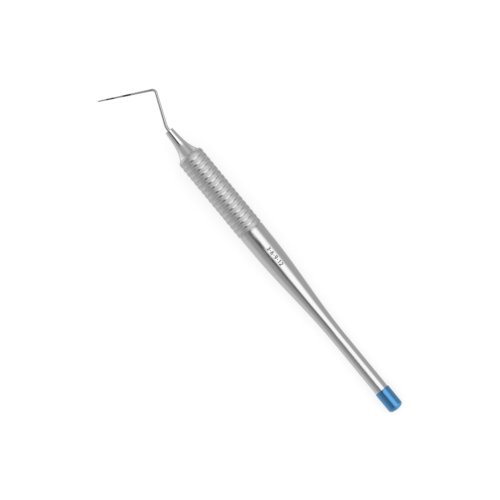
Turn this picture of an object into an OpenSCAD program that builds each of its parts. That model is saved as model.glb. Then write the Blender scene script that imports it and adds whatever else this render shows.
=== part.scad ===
// Graduated dental probe with a hollow, knurled and tapered handle.
// Millimetres. The handle lies along X, with the working end towards +X.
// Both bends of the working end lie in the XY plane, and its blunt end points to +Y.
// The origin is on the handle's axis, at the middle of the grip.

/* [Grip] */
// Diameter over the knurled bands
grip_d = 10; // [9.5:0.1:11]
// Length of the grip, with its rounded front shoulder
grip_length = 34.6; // [33:0.1:38]
// Number of ring grooves round the grip
groove_count = 16; // [10:1:17]
// Width of one groove at the surface
groove_width = 0.8; // [0.4:0.05:0.9]
// Depth of one groove
groove_depth = 0.13; // [0.1:0.01:0.3]
// From the front of the grip to the middle of the first groove
first_band = 2.51; // [2.2:0.01:3]
// Length of the rounded front shoulder
shoulder_length = 1.44; // [0.8:0.02:1.5]
// Depth of the relief groove between the grip and the smooth shaft
relief_depth = 0.3; // [0.3:0.01:0.4]

/* [Shaft] */
// Length of the smooth shaft, from the grip to the end cap
shaft_length = 74.8; // [71:0.1:85]
// Radial step from the knurled bands down to the smooth shaft
neck_step = 0.1; // [0.05:0.01:0.3]
// Length of the almost straight neck behind the grip
neck_length = 5.1; // [3:0.1:8]
// Length of the curved taper behind the neck
taper_length = 46.5; // [38:0.1:60]
// Diameter of the slim rear end
shaft_d = 5.3; // [5:0.02:5.4]
// Diameter of the bore inside the grip
grip_bore_d = 6.4; // [5.6:0.1:7]
// Diameter of the bore inside the slim rear end
shaft_bore_d = 3.4; // [3:0.1:3.8]

/* [Nose] */
// Length of the nose in front of the grip
nose_length = 11.4; // [9.5:0.1:13]
// Diameter of the flat face where the wire comes out
nose_face_d = 3.2; // [2.6:0.1:3.6]
// Diameter where the nose meets the grip
nose_root_d = 8.2; // [7.4:0.1:8.6]
// Length of the spigot inside the grip
spigot_length = 6; // [4:0.5:9]

/* [Working end] */
// Diameter of the wire at the nose
wire_d = 1.2; // [1.1:0.01:1.3]
// Diameter of the wire at the elbow
elbow_d = 1; // [0.94:0.01:1.1]
// Diameter of the measuring length just past the elbow
measure_root_d = 0.85; // [0.7:0.01:0.94]
// Diameter at the blunt end
measure_end_d = 0.5; // [0.42:0.01:0.65]
// Depth of the tang inside the nose
tang_length = 12; // [8:0.5:14]
// Angle of the shank from the handle's axis
shank_angle = 22.9; // [15:0.1:35]
// Length of the shank, from corner to corner
shank_length = 14.35; // [12:0.05:17]
// Bend radius where the shank leaves the nose
shank_bend_r = 6; // [4:0.1:8]
// Angle by which the elbow turns the wire back over the axis
elbow_turn = 85.5; // [70:0.5:100]
// Bend radius of the elbow
elbow_bend_r = 1.3; // [1.1:0.05:2]
// Length past the elbow, from its corner to the blunt end
measure_length = 21; // [18:0.1:24]
// Step of the graduation
mark_step = 3; // [2.5:0.1:3.2]
// Depth of the recesses that hold the black bands
mark_depth = 0.05; // [0.03:0.01:0.08]

/* [End cap] */
// Diameter of the cap
cap_d = 5.85; // [5.6:0.05:6.2]
// Length of the cap
cap_length = 9; // [7.5:0.05:10]
// Radius of the cap's rear edge
cap_edge = 1.37; // [0.8:0.01:1.7]
// Height of the dome on the cap's end
cap_dome = 0.3; // [0.05:0.01:0.4]
// Diameter of the cap's stem inside the bush
stem_d = 2.3; // [1.8:0.1:2.4]
// Length of the cap's stem
stem_length = 6; // [4:0.5:7]
// Thickness of the sealing ring
seal_section = 0.55; // [0.4:0.05:0.6]

/* [Hidden] */

$fn = 96;
curve_steps = 28;
edge_steps = 8;
groove_steps = 8;

grip_r = grip_d / 2;
grip_front = grip_length / 2;
grip_rear = -grip_length / 2;
bore_r = grip_bore_d / 2;

// The relief groove keeps the pitch of the grooves in front of it.
first_groove = grip_front - first_band;
relief_x = grip_rear - groove_width / 2;
groove_pitch = (first_groove - relief_x) / groove_count;

neck_r = grip_r - neck_step;
neck_taper = 0.09;
taper_front = grip_rear - neck_length;
tube_rear = grip_rear - shaft_length;
tube_edge = 0.1;
shaft_r = shaft_d / 2;
shaft_bore_r = shaft_bore_d / 2;

nose_root_r = nose_root_d / 2;
nose_face_r = nose_face_d / 2;
nose_face = grip_front + nose_length;
nose_edge = 0.12;
// Share of the nose's growth that is a plain cone; the rest is the flare.
cone_share = 0.33;
flare_power = 4;

wire_r = wire_d / 2;
elbow_r = elbow_d / 2;
shank_lead = 0.2;
shank_tangent = shank_bend_r * tan(shank_angle / 2);
elbow_tangent = elbow_bend_r * tan(elbow_turn / 2);
corner_x = nose_face + shank_lead + shank_tangent;
measure_straight = measure_length - elbow_tangent;
measure_angle = elbow_turn - shank_angle;
elbow_blend = 1.4;
tip_x = corner_x + shank_length * cos(shank_angle) + measure_length * cos(measure_angle);
tip_y = measure_length * sin(measure_angle) - shank_length * sin(shank_angle);
// The wire is a little thicker in its bends, where each bend laps over the straight lengths.
bend_swell = 0.01;
bend_lap = 0.12;

cap_r = cap_d / 2;
cap_rear = tube_rear - cap_length;
stem_r = stem_d / 2;
bush_length = stem_length + 1;
seal_groove_r = stem_r + seal_section + 0.15;

steel = "#b8babd";
bright_steel = "#cfd1d3";
band_black = "#1b1b1d";
cap_blue = "#1f6fb0";
seal_grey = "#3a3d40";

// Half a cosine wave from a, at t = 0, to b, at t = 1.
function ease(a, b, t) = b + (a - b) * (1 + cos(180 * t)) / 2;

// Radius of the measuring length at a distance from its blunt end.
function measure_r(z) =
    (measure_end_d + (measure_root_d - measure_end_d) * z / measure_straight) / 2;

// Outline of a flat-bottomed groove with rounded corners, as [radius, x] points from front to rear.
// rear_r is the radius of the surface behind it, and depth is measured from the grip.
function groove(x, depth, rear_r) = [
    for (i = [0:groove_steps])
        let (t = 1 - 2 * i / groove_steps, rim_r = t > 0 ? grip_r : rear_r)
            [rim_r - (depth - grip_r + rim_r) * (1 - pow(t, 4)), x + t * groove_width / 2]
];

// The recess of one black band, between two distances from the blunt end.
function recess(from, to) = [
    [measure_r(from), from],
    [measure_r(from) - mark_depth, from],
    [measure_r(to) - mark_depth, to],
    [measure_r(to), to]
];

// Turns an outline of [radius, x] points about the handle's axis.
module turned(outline) {
    rotate([0, 90, 0]) rotate_extrude() polygon(outline);
}

// The measuring length's own place: z = 0 is its blunt end, and z grows towards the elbow.
module measuring_place() {
    translate([tip_x, tip_y, 0])
        rotate([0, 0, measure_angle])
            rotate([0, -90, 0])
                children();
}

// An arc of the wire about the Z axis, from 0 to an angle.
module wire_bend(bend_r, turn, r) {
    rotate_extrude(angle = turn)
        translate([bend_r, 0])
            circle(r = r + bend_swell);
}

module handle_tube() {
    shoulder = [
        for (i = [0:edge_steps])
            let (a = 90 * i / edge_steps)
                [nose_root_r + (grip_r - nose_root_r) * sin(a),
                 grip_front - shoulder_length * (1 - cos(a))]
    ];
    grooves = [
        for (i = [0:groove_count - 1])
            each groove(first_groove - i * groove_pitch, groove_depth, grip_r)
    ];
    taper = [
        for (i = [0:curve_steps])
            let (t = i / curve_steps)
                [ease(neck_r - neck_taper, shaft_r, t), taper_front - taper_length * t]
    ];
    bore_taper = [
        for (i = [curve_steps:-1:0])
            let (t = i / curve_steps)
                [ease(bore_r, shaft_bore_r, t), taper_front - taper_length * t]
    ];
    color(steel)
        turned(concat(
            shoulder,
            grooves,
            groove(relief_x, relief_depth, neck_r),
            taper,
            [[shaft_r, tube_rear + tube_edge], [shaft_r - tube_edge, tube_rear],
             [shaft_bore_r, tube_rear]],
            bore_taper,
            [[bore_r, grip_front]]
        ));
}

module nose_cone() {
    spigot_rear = grip_front - spigot_length;
    tang_rear = nose_face - tang_length;
    growth = nose_root_r - nose_face_r;
    trumpet = [
        for (i = [0:curve_steps])
            let (t = 1 - i / curve_steps)
                [nose_face_r + growth * (cone_share * t + (1 - cone_share) * pow(t, flare_power)),
                 nose_face - nose_edge - (nose_length - nose_edge) * t]
    ];
    color(bright_steel)
        turned(concat(
            [[0, spigot_rear], [bore_r, spigot_rear], [bore_r, grip_front]],
            trumpet,
            [[nose_face_r - nose_edge, nose_face], [wire_r, nose_face],
             [wire_r, tang_rear], [0, tang_rear]]
        ));
}

module probe_tip() {
    shank_straight = shank_length - shank_tangent - elbow_tangent;
    blunt_end = [
        for (i = [0:edge_steps])
            let (a = 90 * i / edge_steps, r = measure_end_d / 2)
                [r * sin(a), r * (1 - cos(a))]
    ];
    color(bright_steel) {
        // Tang and first bend
        translate([nose_face - tang_length, 0, 0])
            rotate([0, 90, 0])
                cylinder(h = tang_length + shank_lead + bend_lap, r = wire_r);
        translate([nose_face + shank_lead, -shank_bend_r, 0])
            rotate([0, 0, 90 - shank_angle])
                wire_bend(shank_bend_r, shank_angle, wire_r);
        // Shank and elbow
        translate([corner_x, 0, 0])
            rotate([0, 0, -shank_angle])
                translate([shank_tangent, 0, 0]) {
                    translate([-bend_lap, 0, 0])
                        rotate([0, 90, 0])
                            cylinder(h = shank_straight + 2 * bend_lap, r1 = wire_r, r2 = elbow_r);
                    translate([shank_straight, elbow_bend_r, 0])
                        rotate([0, 0, -90])
                            wire_bend(elbow_bend_r, elbow_turn, elbow_r);
                }
        // Measuring length
        measuring_place()
            rotate_extrude()
                polygon(concat(
                    blunt_end,
                    recess(mark_step, 2 * mark_step),
                    recess(3 * mark_step, 4 * mark_step),
                    [[measure_root_d / 2, measure_straight - elbow_blend],
                     [elbow_r, measure_straight], [elbow_r, measure_straight + bend_lap],
                     [0, measure_straight + bend_lap]]
                ));
    }
}

module graduation_bands() {
    color(band_black)
        measuring_place()
            for (i = [1, 3])
                rotate_extrude()
                    polygon(recess(i * mark_step, (i + 1) * mark_step));
}

module end_bush() {
    color(steel)
        turned([
            [stem_r, tube_rear], [shaft_bore_r, tube_rear],
            [shaft_bore_r, tube_rear + bush_length], [stem_r, tube_rear + bush_length]
        ]);
}

module cap_seal() {
    color(seal_grey)
        translate([tube_rear - seal_section / 2, 0, 0])
            rotate([0, 90, 0])
                rotate_extrude()
                    translate([(stem_r + seal_groove_r) / 2, 0])
                        circle(d = seal_section);
}

module end_cap() {
    flat_r = cap_r - cap_edge;
    rim = [
        for (i = [0:edge_steps])
            let (a = 90 * i / edge_steps)
                [flat_r + cap_edge * cos(a), cap_rear + cap_dome + cap_edge * (1 - sin(a))]
    ];
    dome = [
        for (i = [1:edge_steps])
            let (t = i / edge_steps)
                [flat_r * (1 - t), cap_rear + cap_dome * pow(1 - t, 2)]
    ];
    color(cap_blue)
        turned(concat(
            [[0, tube_rear + stem_length], [stem_r, tube_rear + stem_length],
             [stem_r, tube_rear - seal_section], [seal_groove_r, tube_rear - seal_section],
             [seal_groove_r, tube_rear], [cap_r - tube_edge, tube_rear],
             [cap_r, tube_rear - tube_edge]],
            rim,
            dome
        ));
}

handle_tube();
nose_cone();
probe_tip();
graduation_bands();
end_bush();
cap_seal();
end_cap();
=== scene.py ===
"""The looks of a graduated dental probe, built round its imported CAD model.

Everything is in metres, in the row frame: the handle lies along X, the working end points to +X and its
blunt end to +Y. Sizes below are in millimetres and turned into metres where a mesh is made.
"""

import math

import bpy
import numpy as np
from mathutils import Matrix, Vector


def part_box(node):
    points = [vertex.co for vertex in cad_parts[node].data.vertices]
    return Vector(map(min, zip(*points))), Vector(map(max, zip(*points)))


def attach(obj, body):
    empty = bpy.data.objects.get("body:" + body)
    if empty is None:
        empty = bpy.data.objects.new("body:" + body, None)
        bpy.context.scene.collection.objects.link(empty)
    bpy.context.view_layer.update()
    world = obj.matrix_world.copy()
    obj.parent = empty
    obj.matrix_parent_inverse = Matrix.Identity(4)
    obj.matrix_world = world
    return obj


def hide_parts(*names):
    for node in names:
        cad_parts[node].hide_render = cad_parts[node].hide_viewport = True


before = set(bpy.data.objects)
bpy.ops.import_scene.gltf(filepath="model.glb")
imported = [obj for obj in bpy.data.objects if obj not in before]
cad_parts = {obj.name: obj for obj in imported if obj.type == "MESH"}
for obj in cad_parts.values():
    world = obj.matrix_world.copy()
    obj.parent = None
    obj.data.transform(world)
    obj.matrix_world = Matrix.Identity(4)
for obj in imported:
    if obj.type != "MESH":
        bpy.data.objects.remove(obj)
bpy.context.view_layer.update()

MM = 0.001


def span(node):
    """A CAD node's lowest and highest corner, in millimetres."""
    low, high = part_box(node)
    return low / MM, high / MM


tube_low, tube_high = span("handle_tube")
nose_low, nose_high = span("nose_cone")
tip_low = span("probe_tip")[0]
cap_low, cap_high = span("end_cap")
bush_high = span("end_bush")[1]

# Grip: knurled bands between smooth ring grooves, with a relief groove behind the last band
GRIP_R = tube_high.z
GRIP_FRONT = tube_high.x
GRIP_REAR = -GRIP_FRONT
GROOVES = 16
GROOVE_WIDTH = 0.8
GROOVE_DEPTH = 0.13
RELIEF_DEPTH = 0.3
FIRST_BAND = 2.51
SHOULDER = 1.44
PITCH = (GRIP_FRONT - GRIP_REAR - FIRST_BAND + GROOVE_WIDTH / 2) / GROOVES
KNURL_DEPTH = 0.05
KNURL_TEETH = 62
# Mesh steps along one tooth of the knurl, and in one knurled band and one groove
TOOTH_STEPS = 4
BAND_STEPS = 9
GROOVE_STEPS = 10
# The knurl's valleys widen as this falls towards 1
CREST_GAIN = 1.6
# The knurl reaches its full depth this many times sooner than the shoulder reaches its full radius
KNURL_RUN_IN = 1.6
# Painted shade in the middle of a groove, next to 1 in a knurl valley
GROOVE_PAINTED_SHADE = 0.8

# Shaft: an almost straight neck, a curved taper and a slim straight end
NECK_R = GRIP_R - 0.1
NECK_TAPER = 0.09
NECK_LENGTH = 5.1
TAPER_LENGTH = 46.5
TUBE_REAR = tube_low.x
SHAFT_R = 2.65
SHAFT_BORE_R = bush_high.z
GRIP_BORE_R = 3.2
EDGE = 0.1

# Nose
NOSE_ROOT_R = nose_high.z
NOSE_FACE = nose_high.x
NOSE_REAR = nose_low.x
NOSE_FACE_R = 1.6
NOSE_EDGE = 0.12
CONE_SHARE = 0.33
FLARE_POWER = 4
SEAM = 0.05

# Working end
WIRE_R = 0.6
ELBOW_R = 0.5
MEASURE_ROOT_R = 0.425
MEASURE_END_R = 0.25
TANG_REAR = tip_low.x
SHANK_LEAD = 0.2
SHANK_ANGLE = math.radians(22.9)
SHANK_LENGTH = 14.35
SHANK_BEND_R = 6
ELBOW_TURN = math.radians(85.5)
ELBOW_BEND_R = 1.3
MEASURE_LENGTH = 21
ELBOW_BLEND = 1.4
# Radius at the elbow's end, as a share of the way from the measuring part's root to the elbow's start
ELBOW_WAIST = 0.55
ELBOW_TANGENT = ELBOW_BEND_R * math.tan(ELBOW_TURN / 2)
MEASURE_STRAIGHT = MEASURE_LENGTH - ELBOW_TANGENT
MARK_STEP = 3
MARK_DEPTH = 0.05
# The black bands start this many steps from the blunt end. Each is one step long.
BANDS = (1, 3)

# End cap
CAP_R = cap_high.z
CAP_REAR = cap_low.x
CAP_EDGE = 1.37
CAP_DOME = 0.3
STEM_R = 1.15
STEM_FRONT = cap_high.x
SEAL_SECTION = 0.55
SEAL_GROOVE_R = STEM_R + SEAL_SECTION + 0.15

# Mesh points round the knurled handle, the other turned pieces and the wire
HANDLE_STEPS = KNURL_TEETH * TOOTH_STEPS
TURNED_STEPS = 160
WIRE_STEPS = 40

# The handle lies on its grip's rear edge and on the cap's rim
REST_SLOPE = (GRIP_R - CAP_R) / (GRIP_REAR - CAP_REAR - CAP_DOME - CAP_EDGE)


# ---------------------------------------------------------------- shapes

def ease(a, b, t):
    """Half a cosine wave from a, at t = 0, to b, at t = 1."""
    return b + (a - b) * (1 + math.cos(math.pi * t)) / 2


def shaft_radius(x):
    """Radius of the smooth shaft at a place along the handle."""
    behind = GRIP_REAR - x
    if behind < NECK_LENGTH:
        return NECK_R - NECK_TAPER * (behind - GROOVE_WIDTH) / (NECK_LENGTH - GROOVE_WIDTH)
    return ease(NECK_R - NECK_TAPER, SHAFT_R, min(1, (behind - NECK_LENGTH) / TAPER_LENGTH))


def make_piece(name, points, faces, material, replaces=(), crease=35):
    """A closed mesh that rides on the root body. points are in millimetres."""
    mesh = bpy.data.meshes.new(name)
    mesh.from_pydata((np.asarray(points) * MM).tolist(), [], faces)
    mesh.validate()
    mesh.shade_smooth()
    mesh.set_sharp_from_angle(angle=math.radians(crease))
    mesh.materials.append(material)
    piece = bpy.data.objects.new(name, mesh)
    bpy.context.scene.collection.objects.link(piece)
    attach(piece, "root")
    if replaces:
        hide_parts(*replaces)
    return piece


def full_turn(count):
    """Evenly spaced angles round a circle."""
    return np.arange(count) * 2 * math.pi / count


def hoop(x, r, turn):
    """Points at the given angles round the handle's axis, from +Z towards +Y."""
    return np.column_stack([np.full(len(turn), x), r * np.sin(turn), r * np.cos(turn)])


def hoop_faces(a, b, around):
    """Faces between two hoops of points. a and b are the numbers of their first points."""
    faces = []
    for j in range(around):
        k = (j + 1) % around
        faces.append((a + j, b + j, b + k, a + k))
    return faces


def revolve(outline):
    """Points and faces of an outline of (x, r), from axis to axis, turned about the handle's axis."""
    turn = full_turn(TURNED_STEPS)
    rings = outline[1:-1]
    poles = [(outline[0][0], 0, 0), (outline[-1][0], 0, 0)]
    points = np.vstack([*(hoop(x, r, turn) for x, r in rings), *poles])
    faces = []
    last = (len(rings) - 1) * TURNED_STEPS
    for i in range(len(rings) - 1):
        faces += hoop_faces(i * TURNED_STEPS, (i + 1) * TURNED_STEPS, TURNED_STEPS)
    first_pole, last_pole = len(points) - 2, len(points) - 1
    for j in range(TURNED_STEPS):
        k = (j + 1) % TURNED_STEPS
        faces.append((first_pole, j, k))
        faces.append((last_pole, last + k, last + j))
    return points, faces


def tooth(phase):
    """0 in the valley between two knurl teeth and 1 on the ridge."""
    return 1 - np.abs(2 * (phase % 1) - 1)


# ---------------------------------------------------------------- node graphs

def node(tree, kind, inputs=None, **settings):
    """Adds a shader node. inputs maps a socket's name or number to a value or to another node's output."""
    made = tree.nodes.new(kind)
    for key, value in settings.items():
        setattr(made, key, value)
    for key, value in (inputs or {}).items():
        if isinstance(value, bpy.types.NodeSocket):
            tree.links.new(value, made.inputs[key])
        else:
            made.inputs[key].default_value = value
    return made


def math_node(tree, operation, a, b=0.0, clamp=False):
    return node(tree, "ShaderNodeMath", {0: a, 1: b}, operation=operation, use_clamp=clamp).outputs[0]


def weighted(tree, a, share_a, b, share_b):
    """A share of a plus a share of b."""
    part_a = math_node(tree, "MULTIPLY", a, share_a)
    return math_node(tree, "ADD", part_a, math_node(tree, "MULTIPLY", b, share_b))


def attribute(tree, name):
    """A value that the mesh holds at each of its points."""
    return node(tree, "ShaderNodeAttribute", attribute_name=name).outputs["Fac"]


def ramp(tree, factor, stops):
    """A colour ramp through grey stops, given as (place, value)."""
    made = node(tree, "ShaderNodeValToRGB", {"Fac": factor})
    elements = made.color_ramp.elements
    while len(elements) < len(stops):
        elements.new(0.5)
    for element, (place, value) in zip(elements, stops):
        element.position = place
        element.color = (value, value, value, 1)
    return made.outputs["Color"]


def between(tree, factor, low, high):
    """A value from low, where factor is 0, to high, where it is 1."""
    made = node(tree, "ShaderNodeMapRange", {"Value": factor, "To Min": low, "To Max": high})
    return made.outputs["Result"]


def blend(tree, factor, a, b):
    """A mix of two colours with alpha, or of two outputs: a where factor is 0 and b where it is 1."""
    made = node(tree, "ShaderNodeMix", {"Factor": factor, "A": a, "B": b}, data_type="RGBA")
    return made.outputs["Result"]


def tint(tree, factor, low, high):
    """A colour from low, where factor is 0, to high, where it is 1."""
    return blend(tree, factor, (*low, 1), (*high, 1))


def grain(tree, stretch, detail=4.0, roughness=0.6):
    """Noise over the object. stretch is the number of features in a millimetre along X, Y and Z."""
    place = node(tree, "ShaderNodeTexCoord").outputs["Object"]
    scaled = node(tree, "ShaderNodeMapping", {"Vector": place, "Scale": [s / MM for s in stretch]})
    return node(tree, "ShaderNodeTexNoise", {
        "Vector": scaled.outputs["Vector"], "Scale": 1.0, "Detail": detail, "Roughness": roughness,
    }).outputs["Fac"]


def new_material(name):
    material = bpy.data.materials.new(name)
    material.use_nodes = True
    return material, material.node_tree, material.node_tree.nodes["Principled BSDF"]


def dress(tree, shader, colour, roughness, normal):
    """Links what varies over every material here."""
    tree.links.new(colour, shader.inputs["Base Color"])
    tree.links.new(roughness, shader.inputs["Roughness"])
    tree.links.new(normal, shader.inputs["Normal"])


def bump(tree, height, depth, normal=None):
    """Relief of a depth in millimetres."""
    inputs = {"Height": height, "Strength": 1.0, "Distance": depth * MM}
    if normal is not None:
        inputs["Normal"] = normal
    return node(tree, "ShaderNodeBump", inputs).outputs["Normal"]


# ---------------------------------------------------------------- materials

def steel(name, dark, light, smooth, rough, marks=0.0012):
    """Turned stainless steel: fine rings round the handle, faint smudges and a little uneven polish.
    marks is the depth of the rings in millimetres."""
    material, tree, shader = new_material(name)
    rings = grain(tree, (14, 0.12, 0.12))
    coarse_rings = grain(tree, (1.8, 0.05, 0.05), detail=2.0)
    smudges = grain(tree, (0.13, 0.22, 0.22), detail=3.0)
    pores = grain(tree, (22, 22, 22), detail=2.0)
    shade = weighted(tree, rings, 0.6, coarse_rings, 0.4)
    polish = weighted(tree, smudges, 0.55, rings, 0.45)
    pitted = bump(tree, pores, marks * 0.4)
    shader.inputs["Metallic"].default_value = 1.0
    dress(tree, shader, tint(tree, shade, dark, light), between(tree, polish, smooth, rough),
          bump(tree, rings, marks, pitted))
    return material


def handle_steel():
    """The handle's steel, with duller knurled bands and painted shade that darkens its colour in the knurl's
    valleys and in the grooves.
    """
    material = steel("handle_steel", (0.56, 0.56, 0.565), (0.66, 0.66, 0.66), 0.05, 0.13)
    tree = material.node_tree
    shader = tree.nodes["Principled BSDF"]
    plain_colour = shader.inputs["Base Color"].links[0].from_socket
    plain_rough = shader.inputs["Roughness"].links[0].from_socket
    # Painted shade: the colour is darkened towards dark grey in the knurl's valleys and in the grooves
    painted_recess_shade = math_node(tree, "MULTIPLY", attribute(tree, "painted_recess_shade"), 0.22)
    recess_shaded = blend(tree, painted_recess_shade, plain_colour, (0.2, 0.2, 0.205, 1))
    tree.links.new(recess_shaded, shader.inputs["Base Color"])
    dullness = math_node(tree, "MULTIPLY", attribute(tree, "knurled"), 0.14)
    dulled = math_node(tree, "ADD", plain_rough, dullness, clamp=True)
    tree.links.new(dulled, shader.inputs["Roughness"])
    return material


def wire_steel():
    """Polished wire with a fine grain, duller where it is thinned by grinding, and given a darker colour
    there as painted shade.
    """
    material, tree, shader = new_material("tip_steel")
    fine = grain(tree, (16, 16, 16), detail=3.0)
    patches = grain(tree, (0.5, 0.9, 0.9), detail=3.0)
    ground_and_painted_shade = attribute(tree, "ground_and_painted_shade")
    polished = tint(tree, fine, (0.46, 0.46, 0.465), (0.56, 0.56, 0.565))
    # The darker colour of the measuring part is painted shade
    painted_shade_colour = tint(tree, fine, (0.32, 0.32, 0.325), (0.42, 0.42, 0.425))
    dullness = math_node(tree, "MULTIPLY", ground_and_painted_shade, 0.08)
    rough = math_node(tree, "ADD", between(tree, patches, 0.1, 0.2), dullness)
    shader.inputs["Metallic"].default_value = 1.0
    dress(tree, shader, blend(tree, ground_and_painted_shade, polished, painted_shade_colour), rough, bump(tree, fine, 0.0008))
    return material


def band_resin():
    """Matte black resin in the graduation's recesses, scuffed in use."""
    material, tree, shader = new_material("band_black")
    scuffs = grain(tree, (9, 9, 9), detail=5.0)
    colour = tint(tree, scuffs, (0.006, 0.006, 0.007), (0.024, 0.024, 0.026))
    dress(tree, shader, colour, between(tree, scuffs, 0.38, 0.62), bump(tree, scuffs, 0.002))
    return material


def marking_black():
    """The dark oxide of a laser mark."""
    material, tree, shader = new_material("laser_mark")
    soot = grain(tree, (12, 12, 12), detail=4.0)
    colour = tint(tree, soot, (0.02, 0.02, 0.022), (0.07, 0.07, 0.075))
    shader.inputs["Metallic"].default_value = 0.3
    dress(tree, shader, colour, between(tree, soot, 0.45, 0.7), bump(tree, soot, 0.002))
    return material


def anodised_blue():
    """Blue anodised aluminium: tinted metal with turning marks under a clear hard skin."""
    material, tree, shader = new_material("cap_blue")
    rings = grain(tree, (11, 0.15, 0.15))
    patches = grain(tree, (0.3, 0.5, 0.5), detail=3.0)
    shade = weighted(tree, rings, 0.5, patches, 0.5)
    colour = tint(tree, shade, (0.004, 0.2, 0.47), (0.01, 0.27, 0.61))
    shader.inputs["Metallic"].default_value = 1.0
    shader.inputs["Coat Weight"].default_value = 1.0
    shader.inputs["Coat Roughness"].default_value = 0.1
    shader.inputs["Coat IOR"].default_value = 1.8
    dress(tree, shader, colour, between(tree, patches, 0.2, 0.34), bump(tree, rings, 0.0012))
    return material


def seal_rubber():
    """Matte dark silicone with a fine grain."""
    material, tree, shader = new_material("seal_rubber")
    fine = grain(tree, (8, 8, 8), detail=3.0)
    colour = tint(tree, fine, (0.028, 0.03, 0.034), (0.045, 0.048, 0.052))
    dress(tree, shader, colour, between(tree, fine, 0.6, 0.8), bump(tree, fine, 0.004))
    return material


# ---------------------------------------------------------------- pieces

def groove_radius(t, depth, rear_r):
    """Radius across a flat-bottomed groove, from t = 1 at its front edge to t = -1 at its rear edge."""
    rim_r = GRIP_R if t > 0 else rear_r
    return rim_r - (depth - GRIP_R + rim_r) * (1 - t ** 4)


def grip_rings():
    """The outside of the grip from front to rear, as (x, radius, knurl share, knurl row, painted shade)."""
    rings = []
    first_groove = GRIP_FRONT - FIRST_BAND
    band = PITCH - GROOVE_WIDTH
    # The first band, with the rounded shoulder at its front
    first_length = FIRST_BAND - GROOVE_WIDTH / 2
    first_rows = round(first_length / band * BAND_STEPS)
    for row in range(first_rows + 1):
        back = first_length * row / first_rows
        into = max(0.0, 1 - back / SHOULDER)
        radius = NOSE_ROOT_R + (GRIP_R - NOSE_ROOT_R) * math.sqrt(1 - into ** 2)
        share = min(1.0, KNURL_RUN_IN * (1 - into))
        rings.append((GRIP_FRONT - back, radius, share, row, 0.0))
    # Each groove with the band behind it, and last the relief groove
    for groove in range(GROOVES + 1):
        middle = first_groove - groove * PITCH
        last = groove == GROOVES
        depth, rear_r = (RELIEF_DEPTH, NECK_R) if last else (GROOVE_DEPTH, GRIP_R)
        for step in range(1, GROOVE_STEPS + 1):
            t = 1 - 2 * step / GROOVE_STEPS
            x = middle + t * GROOVE_WIDTH / 2
            # Painted shade, darkest in the middle of the groove
            painted_recess_shade = GROOVE_PAINTED_SHADE * (1 - t ** 2)
            rings.append((x, groove_radius(t, depth, rear_r), 0.0, rings[-1][3] + 1, painted_recess_shade))
        if last:
            break
        # The groove's rear edge is the knurl's first row
        rings[-1] = (*rings[-1][:2], 1.0, *rings[-1][3:])
        start = middle - GROOVE_WIDTH / 2
        for step in range(1, BAND_STEPS + 1):
            rings.append((start - step * band / BAND_STEPS, GRIP_R, 1.0, rings[-1][3] + 1, 0.0))
    return rings


def shaft_rings():
    """The smooth shaft from behind the relief groove to the edge at its rear, as (x, radius)."""
    rings = []
    start = GRIP_REAR - GROOVE_WIDTH
    steps = 56
    for step in range(1, steps + 1):
        x = start + (TUBE_REAR + EDGE - start) * step / steps
        rings.append((x, shaft_radius(x)))
    return rings + [(TUBE_REAR, SHAFT_R - EDGE), (TUBE_REAR, SHAFT_BORE_R)]


def bore_rings():
    """The inside of the tube from rear to front, as (x, radius)."""
    taper_front = GRIP_REAR - NECK_LENGTH
    steps = 11
    rings = []
    for step in range(steps + 1):
        t = 1 - step / steps
        rings.append((taper_front - TAPER_LENGTH * t, ease(GRIP_BORE_R, SHAFT_BORE_R, t)))
    return rings + [(GRIP_FRONT, GRIP_BORE_R)]


def handle():
    """The swaged tube with its ring grooves and a real diamond knurl."""
    rings = grip_rings()
    rings += [(x, r, 0.0, 0, 0.0) for x, r in shaft_rings() + bore_rings()]
    column = np.arange(HANDLE_STEPS)
    turn = full_turn(HANDLE_STEPS)
    points, painted_recess_shades, bands = [], [], []
    for x, radius, share, row, painted_groove_shade in rings:
        # Flat-topped diamonds between two families of V-shaped valleys
        crest = np.minimum(tooth((row + column) / TOOTH_STEPS), tooth((row - column) / TOOTH_STEPS))
        cut = share * (1 - np.minimum(1.0, crest * CREST_GAIN))
        points.append(hoop(x, radius - KNURL_DEPTH * cut, turn))
        # Painted shade: the knurl's valleys and the grooves get a darker colour
        painted_recess_shades.append(np.maximum(cut, painted_groove_shade))
        bands.append(np.full(HANDLE_STEPS, share))
    faces = []
    for i in range(len(rings)):
        following = (i + 1) % len(rings)
        a, b = i * HANDLE_STEPS, following * HANDLE_STEPS
        row = rings[i][3]
        knurled = max(rings[i][2], rings[following][2]) > 0
        for j in range(HANDLE_STEPS):
            k = (j + 1) % HANDLE_STEPS
            here, behind, behind_next, here_next = a + j, b + j, b + k, a + k
            # The faces in a valley are split along its line
            if knurled and (row - j) % TOOTH_STEPS == 0:
                faces += [(here, behind_next, behind), (here, here_next, behind_next)]
            elif knurled and (row + j + 1) % TOOTH_STEPS == 0:
                faces += [(here, here_next, behind), (behind, here_next, behind_next)]
            else:
                faces.append((here, here_next, behind_next, behind))
    piece = make_piece("knurled_handle", np.concatenate(points), faces, handle_steel(),
                       ["handle_tube"], crease=24)
    for name, values in (("painted_recess_shade", painted_recess_shades), ("knurled", bands)):
        per_point = piece.data.attributes.new(name, "FLOAT", "POINT")
        per_point.data.foreach_set("value", np.concatenate(values).astype(np.float32))


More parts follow.
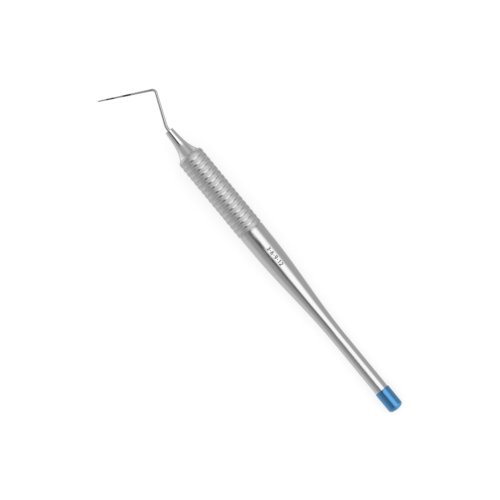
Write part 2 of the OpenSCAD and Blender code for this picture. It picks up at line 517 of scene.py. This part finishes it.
def nose():
    """The trumpet-shaped nose with its spigot and the bore for the tang."""
    steps = 64
    length = NOSE_FACE - NOSE_EDGE - GRIP_FRONT
    trumpet = []
    for step in range(steps + 1):
        t = 1 - step / steps
        growth = CONE_SHARE * t + (1 - CONE_SHARE) * t ** FLARE_POWER
        radius = NOSE_FACE_R + (NOSE_ROOT_R - NOSE_FACE_R) * growth
        trumpet.append((NOSE_FACE - NOSE_EDGE - length * t, radius))
    # A fine chamfer marks the seam between the nose and the grip
    trumpet[0] = (GRIP_FRONT + SEAM, trumpet[0][1])
    edge_steps = 6
    edge = [
        (NOSE_FACE - NOSE_EDGE * (1 - math.sin(a)), NOSE_FACE_R - NOSE_EDGE * (1 - math.cos(a)))
        for a in (math.pi / 2 * i / edge_steps for i in range(1, edge_steps + 1))
    ]
    outline = [
        (NOSE_REAR, 0), (NOSE_REAR, GRIP_BORE_R), (GRIP_FRONT, GRIP_BORE_R), (GRIP_FRONT, NOSE_ROOT_R - SEAM),
        *trumpet, *edge, (NOSE_FACE, WIRE_R), (TANG_REAR, WIRE_R), (TANG_REAR, 0),
    ]
    points, faces = revolve(outline)
    material = steel("nose_steel", (0.6, 0.6, 0.6), (0.7, 0.7, 0.7), 0.06, 0.14)
    make_piece("nose_ferrule", points, faces, material, ["nose_cone"])


def pointing(heading):
    """The direction at an angle from +X towards +Y."""
    return Vector((math.cos(heading), math.sin(heading), 0))


def wire_path():
    """The wire's centreline from the tang to the blunt end, as (point, direction, radius)."""
    path = []
    place = Vector((TANG_REAR, 0.0, 0.0))
    heading = 0.0
    shank = SHANK_LENGTH - SHANK_BEND_R * math.tan(SHANK_ANGLE / 2) - ELBOW_TANGENT
    waist = MEASURE_ROOT_R + ELBOW_WAIST * (ELBOW_R - MEASURE_ROOT_R)

    def run(length, turn, steps, radius):
        """Adds a stretch that turns evenly. radius gives the wire's radius from 0, at its start, to 1."""
        nonlocal place, heading
        for step in range(steps + 1):
            t = step / steps
            direction = heading + turn * t
            if turn:
                across = math.cos(heading) - math.cos(direction)
                offset = Vector((math.sin(direction) - math.sin(heading), across, 0)) * (length / turn)
            else:
                offset = pointing(heading) * length * t
            if step or not path:
                path.append((place + offset, direction, radius(t)))
        place = path[-1][0].copy()
        heading += turn

    def measure_radius(t):
        straight = MEASURE_END_R + (MEASURE_ROOT_R - MEASURE_END_R) * (1 - t)
        left = max(0.0, 1 - MEASURE_STRAIGHT * t / ELBOW_BLEND)
        return straight + (waist - MEASURE_ROOT_R) * left ** 2

    run(NOSE_FACE + SHANK_LEAD - TANG_REAR, 0.0, 12, lambda t: WIRE_R)
    run(SHANK_BEND_R * SHANK_ANGLE, -SHANK_ANGLE, 20, lambda t: WIRE_R)
    run(shank, 0.0, 24, lambda t: WIRE_R + (ELBOW_R - WIRE_R) * t)
    run(ELBOW_BEND_R * ELBOW_TURN, ELBOW_TURN, 28, lambda t: ease(ELBOW_R, waist, t))
    run(MEASURE_STRAIGHT - MEASURE_END_R, 0.0, 140, measure_radius)
    return path, heading


def round_wire(heading):
    """Directions from the wire's centreline to the points round it."""
    turn = full_turn(WIRE_STEPS)
    side, up = np.array([-math.sin(heading), math.cos(heading), 0.0]), np.array([0.0, 0.0, 1.0])
    return np.outer(np.cos(turn), side) + np.outer(np.sin(turn), up)


def skin(rings):
    """Closes rings of points into one mesh, with a pole at each end."""
    points = np.vstack([*rings, rings[0].mean(0), rings[-1].mean(0)])
    first_pole, last_pole = len(points) - 2, len(points) - 1
    faces = []
    for i in range(len(rings) - 1):
        a, b = i * WIRE_STEPS, (i + 1) * WIRE_STEPS
        for j in range(WIRE_STEPS):
            k = (j + 1) % WIRE_STEPS
            faces.append((a + j, a + k, b + k, b + j))
    end = (len(rings) - 1) * WIRE_STEPS
    for j in range(WIRE_STEPS):
        k = (j + 1) % WIRE_STEPS
        faces.append((first_pole, k, j))
        faces.append((last_pole, end + j, end + k))
    return points, faces


def probe_wire():
    """The bent wire, thinned by grinding, with a shallow recess under each black band and a rounded end."""
    path, heading = wire_path()
    ahead = pointing(heading)
    end = path[-1][0] + ahead * MEASURE_END_R
    carved = []
    for place, direction, radius in path:
        from_end = (end - place).length
        in_band = any(band * MARK_STEP < from_end < (band + 1) * MARK_STEP for band in BANDS)
        on_measure = abs(direction - heading) < 1e-6
        carved.append((place, direction, radius - MARK_DEPTH if in_band and on_measure else radius))
    centre = path[-1][0]
    steps = 8
    for step in range(1, steps):
        a = math.pi / 2 * step / steps
        carved.append((centre + ahead * MEASURE_END_R * math.sin(a), heading, MEASURE_END_R * math.cos(a)))
    points, faces = skin([
        np.array(place) + radius * round_wire(direction) for place, direction, radius in carved
    ])
    points[-1] = end
    piece = make_piece("measuring_wire", points, faces, wire_steel(), ["probe_tip"])
    # Each point holds how far the wire has turned towards its measuring part: the material makes it duller
    # there and darkens its colour there as painted shade
    ground_and_painted_shade = [max(0.0, direction / heading) for place, direction, radius in carved]
    at_points = np.concatenate([np.repeat(ground_and_painted_shade, WIRE_STEPS), [0.0, 1.0]])
    per_point = piece.data.attributes.new("ground_and_painted_shade", "FLOAT", "POINT")
    per_point.data.foreach_set("value", at_points.astype(np.float32))
    return heading, end


def graduation(heading, end):
    """The two black bands, flush with the wire."""
    crown = 0.004
    steps = 10
    ahead = pointing(heading)
    around_wire = round_wire(heading)
    points, faces = [], []
    for band in BANDS:
        loop = []
        for step in range(steps + 1):
            from_end = (band + step / steps) * MARK_STEP
            radius = MEASURE_END_R + (MEASURE_ROOT_R - MEASURE_END_R) * from_end / MEASURE_STRAIGHT
            loop.append((from_end, radius + crown * math.sin(math.pi * step / steps)))
        loop += [(from_end, radius - MARK_DEPTH) for from_end, radius in reversed(loop)]
        start = len(points) * WIRE_STEPS
        for from_end, radius in loop:
            points.append(np.array(end - ahead * from_end) + radius * around_wire)
        for i in range(len(loop)):
            a, b = start + i * WIRE_STEPS, start + (i + 1) % len(loop) * WIRE_STEPS
            faces += hoop_faces(a, b, WIRE_STEPS)
    points = np.concatenate(points)
    make_piece("graduation_rings", points, faces, band_resin(), ["graduation_bands"])


def cap():
    """The blue end cap with its stem, its seat for the seal and a softly domed end."""
    flat_r = CAP_R - CAP_EDGE
    rim_steps = 18
    rim = [
        (CAP_REAR + CAP_DOME + CAP_EDGE * (1 - math.sin(a)), flat_r + CAP_EDGE * math.cos(a))
        for a in (math.pi / 2 * i / rim_steps for i in range(rim_steps + 1))
    ]
    dome_steps = 12
    dome = [
        (CAP_REAR + CAP_DOME * (1 - i / dome_steps) ** 2, flat_r * (1 - i / dome_steps))
        for i in range(1, dome_steps)
    ]
    edge_steps = 5
    front_edge = [
        (TUBE_REAR - EDGE * (1 - math.cos(a)), CAP_R - EDGE * (1 - math.sin(a)))
        for a in (math.pi / 2 * i / edge_steps for i in range(edge_steps + 1))
    ]
    side_steps = 12
    side_front, side_rear = TUBE_REAR - EDGE, rim[0][0]
    side = [(side_front + (side_rear - side_front) * i / side_steps, CAP_R) for i in range(1, side_steps)]
    outline = [
        (STEM_FRONT, 0), (STEM_FRONT, STEM_R), (TUBE_REAR - SEAL_SECTION, STEM_R),
        (TUBE_REAR - SEAL_SECTION, SEAL_GROOVE_R), (TUBE_REAR, SEAL_GROOVE_R),
        *front_edge, *side, *rim, *dome, (CAP_REAR, 0),
    ]
    points, faces = revolve(outline)
    # This outline runs from front to rear, so its faces are turned over to look outwards
    faces = [tuple(reversed(face)) for face in faces]
    make_piece("blue_cap", points, faces, anodised_blue(), ["end_cap"])


# ---------------------------------------------------------------- marking on the shaft

MARKING_FRONT = -26.5
# Round the shaft, from +Z towards -Y
NUMBERS_MIDDLE = 0.86
PICTURE_MIDDLE = -0.8


def arc(cx, cy, rx, ry, start, stop, steps=10):
    """Points of an elliptical arc between two angles, in degrees."""
    angles = (math.radians(start + (stop - start) * i / steps) for i in range(steps + 1))
    return [(cx + rx * math.cos(a), cy + ry * math.sin(a)) for a in angles]


# Strokes of each character in a box 0.6 wide and 1 high
STROKES = {
    "3": [arc(0.28, 0.76, 0.26, 0.24, 150, -90) + arc(0.28, 0.26, 0.3, 0.26, 88, -150)],
    "6": [arc(0.3, 0.3, 0.28, 0.3, 0, 360, 16), arc(0.5, 0.42, 0.46, 0.58, 175, 95, 6)],
    "9": [arc(0.3, 0.7, 0.28, 0.3, 0, 360, 16), arc(0.1, 0.58, 0.46, 0.58, -5, -85, 6)],
    "1": [[(0.1, 0.78), (0.32, 1.0), (0.32, 0.0)]],
    "2": [arc(0.3, 0.72, 0.27, 0.28, 160, -35) + [(0.03, 0.0), (0.58, 0.0)]],
    "-": [[(0.08, 0.45), (0.42, 0.45)]],
}


def subdivided(line, longest):
    """The same line with no stretch longer than a given length."""
    dense = [line[0]]
    for a, b in zip(line, line[1:]):
        pieces = max(1, math.ceil(math.dist(a, b) / longest))
        dense += [(a[0] + (b[0] - a[0]) * i / pieces, a[1] + (b[1] - a[1]) * i / pieces)
                  for i in range(1, pieces + 1)]
    return dense


def stroke_edges(line, width):
    """Points left and right of a line, half the stroke's width away, with mitred corners."""
    edges = []
    for i, place in enumerate(line):
        ahead = Vector(line[min(i + 1, len(line) - 1)]) - Vector(place)
        behind = Vector(place) - Vector(line[max(i - 1, 0)])
        ahead = (ahead if ahead.length else behind).normalized()
        behind = (behind if behind.length else ahead).normalized()
        along = (ahead + behind).normalized()
        half = width / 2 / max(0.6, along.dot(ahead))
        edges.append(((place[0] - along.y * half, place[1] + along.x * half),
                      (place[0] + along.y * half, place[1] - along.x * half)))
    return edges


def mark_strokes(strokes, name):
    """Dark strokes let into the shaft. Each is (line, width), in millimetres from the front of the marking
    towards the cap and round the shaft from +Z towards -Y."""
    proud, sunk, longest = 0.004, 0.02, 0.15
    points, faces = [], []

    def on_shaft(u, v, lift):
        x = MARKING_FRONT - u
        radius = shaft_radius(x)
        angle = v / radius
        return (x, -(radius + lift) * math.sin(angle), (radius + lift) * math.cos(angle))

    for line, width in strokes:
        start = len(points)
        edges = stroke_edges(subdivided(line, longest), width)
        for left, right in edges:
            points += [on_shaft(*left, proud), on_shaft(*right, proud)]
            points += [on_shaft(*right, -sunk), on_shaft(*left, -sunk)]
        for i in range(len(edges) - 1):
            a, b = start + 4 * i, start + 4 * (i + 1)
            faces += [(a + j, a + (j + 1) % 4, b + (j + 1) % 4, b + j) for j in range(4)]
        last = start + 4 * (len(edges) - 1)
        faces += [(start + 3, start + 2, start + 1, start), (last, last + 1, last + 2, last + 3)]
    make_piece(name, points, faces, marking_black())


def shaft_marking():
    """The graduation's numbers, and under them a small picture of the banded working end."""
    height, thickness = 1.28, 0.29
    digit_width, dash_width, gap = 0.6, 0.5, 0.24
    strokes = []
    along = 0.0
    for character in "3-6-9-12":
        for line in STROKES[character]:
            placed = [((along + x) * height, NUMBERS_MIDDLE + (y - 0.5) * height) for x, y in line]
            strokes.append((placed, thickness))
        along += (dash_width if character == "-" else digit_width) + gap
    mark_strokes(strokes, "shaft_numbers")
    front, step, bare, banded = 0.2, 1.3, 0.14, 0.5
    picture = [([(front, PICTURE_MIDDLE), (front + 5 * step, PICTURE_MIDDLE)], bare)]
    for band in BANDS:
        start = front + band * step
        picture.append(([(start, PICTURE_MIDDLE), (front + (band + 1) * step, PICTURE_MIDDLE)], banded))
    mark_strokes(picture, "shaft_picture")


# ---------------------------------------------------------------- studio

def stage_floor():
    """A plain pale light table that touches the grip's rear edge and the cap's rim."""
    drop = GRIP_R + REST_SLOPE * -GRIP_REAR
    # Half the table's side, in metres
    half = 6.0
    corners = [(-half, -half), (half, -half), (half, half), (-half, half)]
    mesh = bpy.data.meshes.new("studio_floor")
    mesh.from_pydata([(x, y, -drop * MM - REST_SLOPE * x) for x, y in corners], [], [(0, 1, 2, 3)])
    floor = bpy.data.objects.new("studio_floor", mesh)
    bpy.context.scene.collection.objects.link(floor)
    material, tree, shader = new_material("pale_floor")
    mottle = grain(tree, (0.02, 0.02, 0.02), detail=2.0)
    tree.links.new(tint(tree, mottle, (0.34, 0.34, 0.34), (0.36, 0.36, 0.36)), shader.inputs["Base Color"])
    shader.inputs["Roughness"].default_value = 0.9
    shader.inputs["Specular IOR Level"].default_value = 0.0
    shader.inputs["Emission Color"].default_value = (1, 1, 1, 1)
    shader.inputs["Emission Strength"].default_value = 0.68
    mesh.materials.append(material)
    floor.visible_glossy = False


def beside(gap_start, gap_end, dark, bright):
    """The studio beside the handle, as (degrees from straight up towards -Y, brightness): a wall, a dark
    gap between two angles, the softbox and another wall."""
    return [
        (-180, 0.8), (-95, 0.8), (-80, 0.68), (-64, 0.5), (gap_start - 16, 0.46), (gap_start - 8, 0.37),
        (gap_start, dark), (gap_end - 7, dark), (gap_end, 0.45), (gap_end + 8, 1.35),
        (gap_end + 14, bright), (36, bright), (46, 1.2), (56, 0.7), (66, 0.56), (110, 0.56),
        (135, 0.6), (180, 0.8),
    ]


# The studio round the handle. Each stretch is what one part of the handle mirrors.
BESIDE_TAPER = beside(-28, -13, 0.22, 1.55)
BESIDE_TAPER_ENDS = beside(-25, -9, 0.2, 1.55)
BESIDE_REAR = beside(-34, -18, 0.38, 1.55)
BESIDE_NECK = beside(-26, -4, 0.14, 1.55)
BESIDE_GRIP = beside(-18, 1, 0.0, 1.6)
BESIDE_NOSE = beside(-16, 3, 0.0, 1.7)
BESIDE_FLARE = beside(-21, -2, 0.0, 1.7)
IN_FRONT = [
    (-180, 0.5), (-150, 0.55), (-138, 1.2), (-115, 1.2), (-105, 0.98), (-85, 0.88), (-72, 0.68), (-60, 0.5),
    (-15, 0.54), (0, 0.6), (15, 0.68), (30, 0.71), (44, 0.65), (60, 0.54), (73, 0.48), (86, 0.5),
    (100, 0.68), (115, 0.9), (150, 0.7), (180, 0.5),
]
BEHIND = [
    (-180, 0.8), (-95, 0.8), (-80, 0.7), (-60, 0.62), (-16, 0.58), (2, 0.9), (13, 1.25),
    (75, 1.25), (95, 0.8), (180, 0.8),
]
# Where each stretch of the studio fades in, in degrees from square to the handle towards +X
STRETCHES = [
    (BESIDE_TAPER_ENDS, -8.5, -7), (BESIDE_REAR, -4.6, -3.9), (BESIDE_NECK, -2.8, -2.5),
    (BESIDE_GRIP, 0.1, 0.4), (BESIDE_NOSE, 3, 7), (BESIDE_FLARE, 12, 15), (IN_FRONT, 19, 31),
    (BEHIND, -12, -20),
]
BRIGHTEST = 2.0


def around_handle(tree, angle, stops):
    """Brightness by the angle round the handle."""
    place = node(tree, "ShaderNodeMapRange", {"Value": angle, "From Min": -math.pi, "From Max": math.pi})
    placed = [((degrees + 180) / 360, value / BRIGHTEST) for degrees, value in stops]
    return ramp(tree, place.outputs["Result"], placed)


def studio_world():
    """Soft studio surroundings: a long white softbox above one side of the handle, a dark gap beside it and
    grey walls. The softbox's edge shifts from one stretch of the handle to the next. In front of the handle
    and behind it the light is softer. The floor is lit evenly, and past it the camera sees plain white."""
    world = bpy.data.worlds.new("studio")
    bpy.context.scene.world = world
    world.use_nodes = True
    tree = world.node_tree
    tree.nodes.clear()
    direction = node(tree, "ShaderNodeTexCoord").outputs["Generated"]
    split = node(tree, "ShaderNodeSeparateXYZ", {"Vector": direction})
    sideways = math_node(tree, "MULTIPLY", split.outputs["Y"], -1.0)
    angle = math_node(tree, "ARCTAN2", sideways, split.outputs["Z"])
    seen_in_steel = around_handle(tree, angle, BESIDE_TAPER)
    for stops, start, end in STRETCHES:
        share = node(tree, "ShaderNodeMapRange", {
            "Value": split.outputs["X"],
            "From Min": math.sin(math.radians(start)), "From Max": math.sin(math.radians(end)),
        }, interpolation_type="SMOOTHSTEP").outputs["Result"]
        seen_in_steel = blend(tree, share, seen_in_steel, around_handle(tree, angle, stops))
    mirrored = node(tree, "ShaderNodeBackground", {"Color": seen_in_steel, "Strength": BRIGHTEST})
    white = node(tree, "ShaderNodeBackground", {"Color": (1, 1, 1, 1), "Strength": 1.0})
    ray = node(tree, "ShaderNodeLightPath").outputs
    indirect = node(tree, "ShaderNodeMixShader", {
        0: ray["Is Diffuse Ray"], 1: mirrored.outputs[0], 2: white.outputs[0],
    })
    mixed = node(tree, "ShaderNodeMixShader", {
        0: ray["Is Camera Ray"], 1: indirect.outputs[0], 2: white.outputs[0],
    })
    node(tree, "ShaderNodeOutputWorld", {"Surface": mixed.outputs[0]})


def overhead_light():
    """A wide soft lamp above the handle. It isn't mirrored in the steel."""
    lamp = bpy.data.lights.new("overhead_softbox", "AREA")
    lamp.shape = "RECTANGLE"
    lamp.size, lamp.size_y = 1.2, 1.2
    lamp.energy = 1
    holder = bpy.data.objects.new("overhead_softbox", lamp)
    holder.location = (0, -0.2, 1.2)
    holder.visible_glossy = False
    bpy.context.scene.collection.objects.link(holder)


def camera():
    """Straight above the bend plane, turned so that the handle runs down to the right. across is the width
    of the picture at the handle, in metres."""
    handle_slant = math.radians(50.62)
    across = 0.18
    distance = 0.95
    aim = Vector((-23.04, 4.68, 0)) * MM
    right = Vector((-math.cos(handle_slant), -math.sin(handle_slant), 0))
    up = Vector((math.sin(handle_slant), -math.cos(handle_slant), 0))
    back = Vector((0, 0, 1))
    data = bpy.data.cameras.new("camera")
    data.sensor_width = 36
    data.lens = data.sensor_width * distance / across
    data.clip_start, data.clip_end = 0.05, 20
    holder = bpy.data.objects.new("camera", data)
    turned = Matrix((right, up, back)).transposed().to_4x4()
    holder.matrix_world = Matrix.Translation(aim + back * distance) @ turned
    bpy.context.scene.collection.objects.link(holder)
    bpy.context.scene.camera = holder


handle()
nose()
graduation(*probe_wire())
cap()
shaft_marking()
bush_steel = steel("bush_steel", (0.5, 0.5, 0.5), (0.6, 0.6, 0.6), 0.25, 0.4)
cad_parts["end_bush"].material_slots[0].material = bush_steel
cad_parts["cap_seal"].material_slots[0].material = seal_rubber()
stage_floor()
studio_world()
overhead_light()
camera()
bpy.context.scene.view_settings.view_transform = "Standard"
